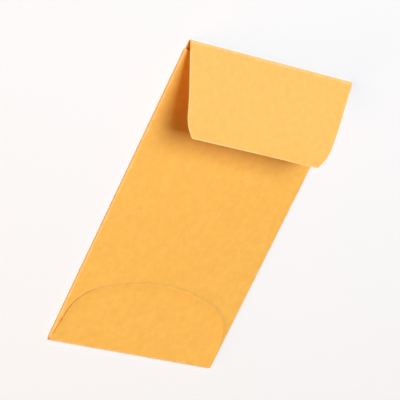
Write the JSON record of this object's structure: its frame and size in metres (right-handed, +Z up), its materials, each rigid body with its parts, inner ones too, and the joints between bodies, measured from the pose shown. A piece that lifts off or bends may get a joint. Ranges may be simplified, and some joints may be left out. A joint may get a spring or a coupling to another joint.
{
  "type": "coin envelope",
  "caption": "Small open-end kraft paper envelope lying on its front, with a side seam, a glued round-shouldered bottom flap, and a closing flap with round corners half open over the flat pocket.",
  "frame": {"origin": "under the middle of the front panel, on the surface that the envelope lies on", "axes": "+Y along the length, from the bottom fold to the closing flap's fold; +X across the width, towards the seam side; +Z up, out of the back panel"},
  "size_m": [0.0634, 0.108, 0.0134],
  "materials": {
    "kraft_paper": "golden brown machine-finished kraft paper, matt, with fine fibres and pale cut edges"
  },
  "bodies": {
    "root": {"envelope": "kraft_paper"}
  },
  "joints": []
}
